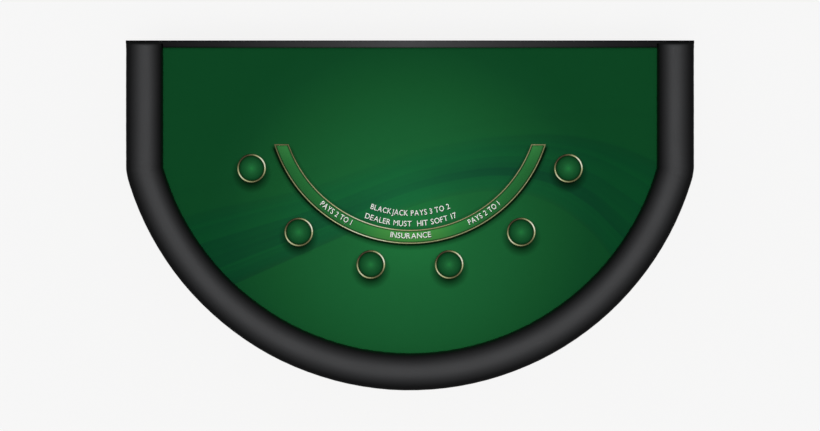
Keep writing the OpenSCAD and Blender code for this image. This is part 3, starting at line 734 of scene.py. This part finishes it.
def armrest_profile():
    """Closed section as (inset, z): hem, outer wall, crown, and the notch for deck and base."""
    mid = ARMREST_W / 2
    base_z = CLOTH_Z + SEAT_GAP
    crown = []
    for k in range(CROWN_STEPS + 1):
        a = math.pi * (1 - k / CROWN_STEPS)
        c, s = math.cos(a), max(math.sin(a), 0)
        crown.append((mid + mid * math.copysign(abs(c) ** (2 / CROWN_POWER), c),
                      base_z + (CROWN_Z - base_z) * s ** (2 / CROWN_POWER)))
    bottom = DECK_Z - COVER_T
    wall = [(0.0, DECK_Z + (base_z - DECK_Z) * t) for t in (0.15, 0.45, 0.75)]
    hem = [(HEM_W, bottom), (HEM_W * 0.66, bottom), (HEM_W * 0.33, bottom),
           (3.0 * MM, bottom), (0.8 * MM, bottom + 0.8 * MM)]
    notch = [(BASE_INSET_IN, base_z), (BASE_INSET_IN, BASE_TOP_Z), (DECK_INSET, BASE_TOP_Z),
             (DECK_INSET, DECK_Z), (HEM_W, DECK_Z)]
    return hem + wall + crown + notch


def armrest_path():
    """Stations along the armrest's middle from the left end to the right, the outward side of
    each, and the numbers of the two at the mitres."""
    mid = ARMREST_W / 2
    r = ARC_R - mid
    turn = math.asin((HALF_W - mid) / r)
    kink = Vector((HALF_W - mid, ARC_Y - r * math.cos(turn)))
    arc_n = int(2 * r * turn / STATION_PITCH)
    side_n = int((RAIL_Y - kink.y) / STATION_PITCH)
    edge = 0.3 * MM
    places = [LAP_Y - edge, LAP_Y - 2 * MM, (LAP_Y + RAIL_Y) / 2, RAIL_Y + edge]
    places += list(np.linspace(RAIL_Y - edge, kink.y, side_n, endpoint=False))
    left = [Vector((-kink.x, y)) for y in places]
    arc = [Vector((r * math.sin(a), ARC_Y - r * math.cos(a)))
           for a in np.linspace(-turn, turn, arc_n + 1)]
    right = [Vector((-p.x, p.y)) for p in reversed(left)]
    points = left + arc + right
    corners = (len(left), len(left) + arc_n)
    span = int(CORNER_REACH / STATION_PITCH)
    rounded = list(points)
    for corner in corners:
        a, b, c = points[corner - span], points[corner], points[corner + span]
        for k in range(-span, span + 1):
            t = (k + span) / (2 * span)
            rounded[corner + k] = (1 - t) ** 2 * a + 2 * t * (1 - t) * b + t * t * c
    sides = []
    for k, p in enumerate(rounded):
        along = rounded[min(k + 1, len(rounded) - 1)] - rounded[max(k - 1, 0)]
        along.normalize()
        sides.append(Vector((along.y, -along.x)))
    return rounded, sides, corners


def armrest_mesh(material):
    profile = armrest_profile()
    path, sides, corners = armrest_path()
    count = len(profile)
    first = HEM_ROWS - 1
    last_crown = HEM_ROWS + WALL_ROWS + CROWN_STEPS
    travelled = np.concatenate([[0], np.cumsum([(b - a).length for a, b in zip(path, path[1:])])])
    corner_at = [travelled[c] for c in corners]
    vertices = []
    for p, side, s in zip(path, sides, travelled):
        pulled = sum(math.exp(-((s - c) / TUCK_REACH) ** 2) for c in corner_at)
        for j, (inset, z) in enumerate(profile):
            out = ARMREST_W / 2 - inset
            lift = 0.0
            if first <= j <= last_crown:
                share = (j - first) / (last_crown - first)
                top = math.sin(math.pi * share)
                # Foam is never quite even, and the cover is drawn in where it is stapled
                lift = UNEVEN * noise.noise(Vector((s * 7, share * 3, 2.0)))
                tuck = math.exp(-share * 9) + math.exp(-(1 - share) * 9)
                lift += DRAWN * tuck * math.sin(2 * math.pi * s / PUCKER_PITCH)
                lift -= TUCKED * pulled * (0.5 + 0.5 * math.cos((s + 0.2 * out) * 260)) * top
                lift -= SETTLED * top
                from_end = min(s, travelled[-1] - s)
                lift -= END_ROUND * math.exp(-from_end / (1.6 * MM))
            grow = 1 + lift / (ARMREST_W / 2)
            z += lift * max(0.0, (z - CLOTH_Z) / (CROWN_Z - CLOTH_Z))
            if p.y > RAIL_Y:
                z = max(z, CLOTH_Z + SEAT_GAP)
            vertices.append((p.x + side.x * out * grow, p.y + side.y * out * grow, z))
    faces = []
    for k in range(len(path) - 1):
        a, b = k * count, (k + 1) * count
        faces += [(a + j, b + j, b + (j + 1) % count, a + (j + 1) % count) for j in range(count)]
    last = (len(path) - 1) * count
    faces.append(tuple(range(count)))
    faces.append(tuple(last + j for j in reversed(range(count))))
    armrest = mesh_object("armrest", vertices, faces, material)
    outward(armrest)
    return armrest


SIM_FRAMES = 16
SIM_CAP = 2.2 * MM
END_STATIONS = 5    # held at each end of the armrest


def inflate(armrest, count):
    """Blows the cover up against its stapled edges, each point by SIM_CAP at most."""
    rest = np.array([v.co[:] for v in armrest.data.vertices])
    stations = len(rest) // count
    held = armrest.vertex_groups.new(name="held")
    pinned = [k * count + j for k in range(stations) for j in range(count)
              if j < HEM_ROWS or j >= count - 1 - NOTCH_ROWS
              or k < END_STATIONS or k >= stations - END_STATIONS]
    held.add(pinned, 1.0, "REPLACE")
    cloth = armrest.modifiers.new("cover", "CLOTH")
    settings = cloth.settings
    settings.quality = 4
    settings.mass = 0.4
    settings.tension_stiffness = settings.compression_stiffness = 20
    settings.shear_stiffness = 8
    settings.bending_stiffness = 1.5
    settings.use_pressure = True
    settings.uniform_pressure_force = 5
    settings.vertex_group_mass = "held"
    settings.effector_weights.gravity = 0
    cloth.point_cache.frame_start = 1
    cloth.point_cache.frame_end = SIM_FRAMES
    scene = bpy.context.scene
    for frame_number in range(1, SIM_FRAMES + 1):
        scene.frame_set(frame_number)
    apply_modifiers(armrest)
    scene.frame_set(1)
    moved = np.array([v.co[:] for v in armrest.data.vertices]) - rest
    length = np.linalg.norm(moved, axis=1)
    share = np.minimum(1.0, SIM_CAP / np.maximum(length, 1e-9))
    for vertex, place in zip(armrest.data.vertices, rest + moved * share[:, None]):
        vertex.co = place
    armrest.vertex_groups.clear()


def make_armrest(material):
    armrest = armrest_mesh(material)
    inflate(armrest, len(armrest_profile()))
    smooth_by_angle(armrest, 50)
    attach(armrest, "table")
    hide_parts(*[f"armrest_{layer}_{side}" for layer in ("cover", "foam")
                           for side in ("left", "front", "right")])


STAPLE_W = 11 * MM
STAPLE_WIRE = 0.6 * MM      # half the wire's width
STAPLE_INSET = 22 * MM
# A staple's sections: place along it, from -1 to 1, and share of the full thickness
STAPLE_SHAPE = [(-1.0, 0.3), (-0.96, 0.8), (-0.88, 1.0), (0.88, 1.0), (0.96, 0.8), (1.0, 0.3)]


def make_staples(material):
    """The staples that hold the cover's hem under the deck: flat bars with rounded ends."""
    path, sides, _ = armrest_path()
    z = DECK_Z - COVER_T
    vertices, faces = [], []
    travelled, due = 0.0, PUCKER_PITCH
    section = [(math.cos(a), math.sin(a)) for a in np.linspace(0, 2 * math.pi, 8, endpoint=False)]
    for a, b, side in zip(path, path[1:], sides):
        travelled += (b - a).length
        if travelled < due or b.y > RAIL_Y - STAPLE_W:
            continue
        due += PUCKER_PITCH
        middle = a + side * (ARMREST_W / 2 - STAPLE_INSET)
        along = Vector((-side.y, side.x))
        base = len(vertices)
        for t, grow in STAPLE_SHAPE:
            p = middle + along * (t * STAPLE_W / 2)
            for c, d in section:
                q = p + side * (c * STAPLE_WIRE * grow)
                vertices.append((q.x, q.y, z - 0.15 * MM + d * STAPLE_WIRE * 0.6 * grow))
        wide = len(section)
        faces += [tuple(base + i for i in face) for face in strip_faces(len(STAPLE_SHAPE), wide)]
        faces.append(tuple(base + j for j in range(wide)))
        faces.append(tuple(base + (len(STAPLE_SHAPE) - 1) * wide + j for j in range(wide)))
    staples = mesh_object("hem_staples", vertices, faces, material)
    outward(staples)
    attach(staples, "table")


# -------- gilt rings, border and inlay

DOME_STEPS = 8
LOOP_STEPS = 144
INLAY_ROWS = [0, 0.02, 0.06, 0.2, 0.35, 0.5, 0.65, 0.8, 0.94, 0.98, 1]   # shares of its width


def dome(width, height):
    """A low dome's section as (place across the line, height), with a small foot at each side."""
    section = []
    for k in range(DOME_STEPS + 1):
        a = math.pi * k / DOME_STEPS
        section.append((width / 2 * (1 - math.cos(a)), height * (0.12 + 0.88 * math.sin(a))))
    return [(0.0, 0.0)] + section + [(width, 0.0)]


def strip_faces(count, wide, closed=True):
    """Quads between loops of `wide` vertices, stacked `count` high."""
    last = wide if closed else wide - 1
    return [(a + j, a + (j + 1) % wide, a + wide + (j + 1) % wide, a + wide + j)
            for a in range(0, (count - 1) * wide, wide) for j in range(last)]


def outward(piece):
    mesh = bmesh.new()
    mesh.from_mesh(piece.data)
    bmesh.ops.recalc_face_normals(mesh, faces=mesh.faces)
    mesh.to_mesh(piece.data)
    mesh.free()


def gilt_line(name, width, low_z, high_z, outline, material):
    """A domed line all round. outline(across) gives its (x, y) loop that far in from its edge."""
    section = dome(width, high_z - low_z)
    loops = [[(x, y, low_z + z) for x, y in outline(across)] for across, z in section]
    wide = len(loops[0])
    faces = strip_faces(len(loops), wide)
    last = (len(loops) - 1) * wide
    faces += [(j, last + j, last + (j + 1) % wide, (j + 1) % wide) for j in range(wide)]
    piece = mesh_object(name, sum(loops, []), faces, material)
    outward(piece)
    smooth_by_angle(piece, 60)
    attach(piece, "table")
    return piece


def make_ring(k, material):
    low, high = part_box(f"betting_ring_{k}")
    middle = (low + high) / 2

    def circle(across):
        r = RING_R - across
        return [(middle.x + r * math.cos(a), middle.y + r * math.sin(a))
                for a in np.linspace(0, 2 * math.pi, LOOP_STEPS, endpoint=False)]

    ring = gilt_line(f"gilt_ring_{k}", RING_LINE, low.z, high.z, circle, material)
    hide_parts(f"betting_ring_{k}")


def band_arc(radius, inset, steps):
    """Points on an arc of the band, from its left cut end to its right, set in from the cut."""
    cut = math.acos((BAND_Y - border_high.y + inset) / radius)
    return [(radius * math.sin(a), BAND_Y - radius * math.cos(a))
            for a in np.linspace(-cut, cut, steps)]


def make_border(material):
    def outline(across):
        return (band_arc(BAND_R - across, across, LOOP_STEPS)
                + band_arc(BAND_R - BAND_W + across, across, LOOP_STEPS)[::-1])

    border = gilt_line("gilt_border", BORDER_LINE, border_low.z, border_high.z, outline, material)
    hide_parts("insurance_border")


def make_inlay(material):
    """The band's light felt, laid flat inside its border, its edges pressed down a little."""
    low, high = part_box("insurance_band")
    inset = BORDER_LINE + 0.1 * MM
    outer, inner = BAND_R - inset, BAND_R - BAND_W + inset
    vertices = []
    for t in INLAY_ROWS:
        pressed = 0.12 * MM * (math.exp(-t * 40) + math.exp(-(1 - t) * 40))
        for x, y in band_arc(outer + (inner - outer) * t, inset, LOOP_STEPS):
            wave = 0.04 * MM * noise.noise(Vector((x * 12, y * 12, 1.0)))
            vertices.append((x, y, high.z - 0.05 * MM - pressed + wave))
    faces = strip_faces(len(INLAY_ROWS), LOOP_STEPS, closed=False)
    inlay = mesh_object("band_inlay", vertices, faces, material)
    for face in inlay.data.polygons:
        if face.normal.z < 0:
            face.flip()
    thicken(inlay, (high.z - low.z) * 0.7)
    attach(inlay, "table")
    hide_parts("insurance_band")


# -------- playing cloth

CLOTH_ROWS_ARC = 110
CLOTH_ROWS_SIDE = 44
CLOTH_COLUMNS = 180


def layout_sheet(name, inset, back_y, top_z, thickness, swell, material):
    """A sheet in the layout's outline: rows across the table, closer where the arc turns."""
    r = ARC_R - inset
    half = HALF_W - inset
    turn = math.asin(half / r)
    rows = [(ARC_Y - r * math.cos(a), r * math.sin(a))
            for a in turn * np.linspace(0.004, 1, CLOTH_ROWS_ARC) ** 1.3]
    rows += [(y, half) for y in np.linspace(rows[-1][0], back_y, CLOTH_ROWS_SIDE)[1:]]
    vertices = []
    for y, reach in rows:
        for t in np.linspace(-1, 1, CLOTH_COLUMNS + 1):
            x = t * reach
            wave = swell * (noise.noise(Vector((x * 9, y * 9, 5.0))) - 0.6)
            vertices.append((x, y, top_z + wave))
    wide = CLOTH_COLUMNS + 1
    piece = mesh_object(name, vertices, strip_faces(len(rows), wide, closed=False), material)
    thicken(piece, thickness)
    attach(piece, "table")
    return piece


def make_cloth(material):
    back_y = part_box("playing_cloth")[1].y
    cloth = layout_sheet("layout_cloth", CLOTH_INSET, back_y, CLOTH_Z, CLOTH_T - 0.2 * MM,
                         0.12 * MM, material)
    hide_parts("playing_cloth")


def make_underlay(material):
    low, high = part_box("foam_underlay")
    pad = layout_sheet("underlay_pad", HALF_W - high.x + 0.3 * MM, high.y, high.z - 0.1 * MM,
                       high.z - low.z - 0.2 * MM, 0.05 * MM, material)
    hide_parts("foam_underlay")


# -------- lettering

CAP_H = 19.5 * MM
INK_Z = CLOTH_Z + 0.25 * MM
INK_T = 0.15 * MM
BAND_LIFT = 0.5 * MM                    # the band's words lie on its inlay
SHADOW_SHIFT = (1.2 * MM, -2.2 * MM)    # where a word's printed shadow lies
# In the font's own units: a capital's height, the gaps between letters and between words, the
# room beside a 1, and how much its strokes are thickened
FONT_CAP, LETTER_GAP, WORD_GAP, ONE_GAP, BOLDER = 0.72, 0.10, 0.34, 0.08, 0.007
# Generic game rules: words, radius from the band's middle, middle angle and span in degrees
RULES = [("rule_blackjack", "BLACKJACK PAYS 3 TO 2", 0.3895, 0.1, 40.9),
         ("rule_dealer", "DEALER MUST  HIT SOFT 17", 0.4265, 0.4, 43.4),
         ("rule_insurance", "INSURANCE", 0.4690, 0.3, 17.2),
         ("rule_pays_left", "PAYS 2 TO 1", 0.4690, -33.3, 15.6),
         ("rule_pays_right", "PAYS 2 TO 1", 0.4690, 33.5, 15.6)]


def letter_mesh(character):
    """A letter's points and faces, flat, in the font's own units."""
    curve = bpy.data.curves.new("letter", "FONT")
    curve.body = character
    curve.size = 1.0
    curve.offset = 0.0 if character == "M" else BOLDER     # a bolder M's outline crosses itself
    curve.resolution_u = 4
    letter = bpy.data.objects.new("letter", curve)
    bpy.context.scene.collection.objects.link(letter)
    bpy.context.view_layer.update()
    made = letter.evaluated_get(bpy.context.evaluated_depsgraph_get())
    mesh = bpy.data.meshes.new_from_object(made)
    points = np.array([v.co[:2] for v in mesh.vertices]).reshape(-1, 2)
    faces = [tuple(p.vertices) for p in mesh.polygons]
    bpy.data.objects.remove(letter)
    bpy.data.meshes.remove(mesh)
    return points, faces


def make_rule(name, words, radius, middle, span, material, z, shift):
    """Words along an arc round the band's middle, their tops towards the dealer."""
    letters, pen = [], 0.0
    for character in words:
        if character == " ":
            pen += WORD_GAP
            continue
        points, faces = letter_mesh(character)
        width = points[:, 0].max() - points[:, 0].min()
        bearing = ONE_GAP if character == "1" else 0.0
        letters.append((points - (points[:, 0].min(), 0), faces, pen + bearing, width))
        pen += width + LETTER_GAP + 2 * bearing
    pen -= LETTER_GAP
    vertices, all_faces = [], []
    for points, faces, start, width in letters:
        angle = math.radians(middle + span * ((start + width / 2) / pen - 0.5))
        stretch = math.radians(span) * radius / pen
        u = (points[:, 0] - width / 2) * stretch
        v = (points[:, 1] / FONT_CAP - 0.5) * CAP_H
        x = (radius - v) * math.sin(angle) + u * math.cos(angle) + shift[0]
        y = BAND_Y - (radius - v) * math.cos(angle) + u * math.sin(angle) + shift[1]
        base = len(vertices)
        vertices += [(a, b, z) for a, b in zip(x, y)]
        all_faces += [tuple(base + i for i in face) for face in faces]
    rule = mesh_object(name, vertices, all_faces, material, smooth=False)
    thicken(rule, INK_T)
    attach(rule, "table")


def make_lettering():
    white = ink_material("white_ink", srgb(236, 240, 232))
    dark = ink_material("shadow_ink", srgb(5, 26, 10))
    for name, words, radius, middle, span in RULES:
        z = INK_Z + (BAND_LIFT if radius > BAND_R - BAND_W else 0.0)
        make_rule(name, words, radius, middle, span, white, z, (0, 0))
        make_rule(name + "_shadow", words, radius, middle, span, dark, z - 0.1 * MM, SHADOW_SHIFT)


# -------- levellers

THREAD_PITCH = 2 * MM
THREAD_DEPTH = 1.1 * MM
THREAD_SEGMENTS = 28
THREAD_ROWS = 6             # in each turn
THREAD_LEAD = 1.5 * MM      # the stem's end narrows over this length
STEM_R = 7.95 * MM
# The collar's lower and upper face, above the stem's lower end, and its bevel
COLLAR_LOW, COLLAR_HIGH, COLLAR_BEVEL = 6.3 * MM, 12.3 * MM, 0.7 * MM


def threaded_stem(k, material):
    """The stem with a real helical thread above its hexagonal collar."""
    node = f"leveller_stem_{k}"
    low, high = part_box(node)
    middle = (low + high) / 2
    collar_low, collar_high = low.z + COLLAR_LOW, low.z + COLLAR_HIGH
    vertices, faces = [], []

    def tube(loops):
        """A closed tube through loops, each a height and its (angle, radius) points."""
        base = len(vertices)
        for z, points in loops:
            vertices.extend((middle.x + r * math.cos(a), middle.y + r * math.sin(a), z)
                            for a, r in points)
        wide = len(loops[0][1])
        faces.extend(tuple(base + i for i in face) for face in strip_faces(len(loops), wide))
        faces.append(tuple(base + j for j in reversed(range(wide))))
        top = base + (len(loops) - 1) * wide
        faces.append(tuple(top + j for j in range(wide)))

    angles = [2 * math.pi * j / THREAD_SEGMENTS for j in range(THREAD_SEGMENTS)]
    plain = [(a, STEM_R) for a in angles]
    tube([(low.z, plain), (collar_low, plain)])
    across = (high.x - low.x) / 2
    hexagon = [(math.radians(60 * j), across) for j in range(6)]
    inner = [(a, r - COLLAR_BEVEL) for a, r in hexagon]
    tube([(collar_low, inner), (collar_low + COLLAR_BEVEL, hexagon),
          (collar_high - COLLAR_BEVEL, hexagon), (collar_high, inner)])
    loops = []
    steps = int((high.z - collar_high) / (THREAD_PITCH / THREAD_ROWS))
    for z in np.linspace(collar_high, high.z, steps + 1):
        end = (high.z - z) / THREAD_LEAD
        loop = []
        for a in angles:
            phase = (z / THREAD_PITCH - a / (2 * math.pi)) % 1.0
            groove = THREAD_DEPTH * (abs(2 * phase - 1) if end >= 1 else 1.6 - 0.6 * end)
            loop.append((a, STEM_R - groove))
        loops.append((z, loop))
    tube(loops)
    stem = mesh_object(f"threaded_stem_{k}", vertices, faces, material)
    smooth_by_angle(stem, 40)
    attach(stem, f"leveller_{k}_stem")
    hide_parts(node)


# -------- build it

make_camera()
make_world()
make_sun()
make_stage()

steel = metal_material("zinc_plate", srgb(186, 188, 194), 0.34, metallic=0.75)
lacquer = lacquer_material("black_lacquer")
plywood = plywood_material()
brass = metal_material("turned_brass", srgb(190, 156, 92), 0.3)

dress(plywood, "deck_board", "armrest_base*")
dress(lacquer_material("rail_lacquer", painted_highlight=True), "dealer_rail")
dress(steel, "dealer_rail_screws", "armrest_bolts", "armrest_washers", "armrest_tee_nuts",
      "bearer_screws", "column_rod*", "tie_rod*", "cap_nuts")
dress(lacquer, "apron*", "leg_column*", "foot_beam*", "stretcher")
dress(hardwood_material(), "glue_blocks", "bearer_left", "bearer_right")
dress(brass, "leveller_inserts")
dress(metal_material("cup_enamel", srgb(62, 62, 64), 0.42, metallic=0.6), "leveller_cup*")
dress(rubber_material(), "leveller_sole*")

make_armrest(vinyl_material())
make_staples(steel)
make_underlay(foam_material())
make_cloth(cloth_material())
make_inlay(band_material())
make_border(gilt_material("gilt_border", False))
ring_gilt = gilt_material("gilt_ring", True)
for k in range(1, 7):
    make_ring(k, ring_gilt)
make_lettering()
for k in range(1, 5):
    threaded_stem(k, steel)

bpy.context.scene.view_settings.view_transform = "Standard"
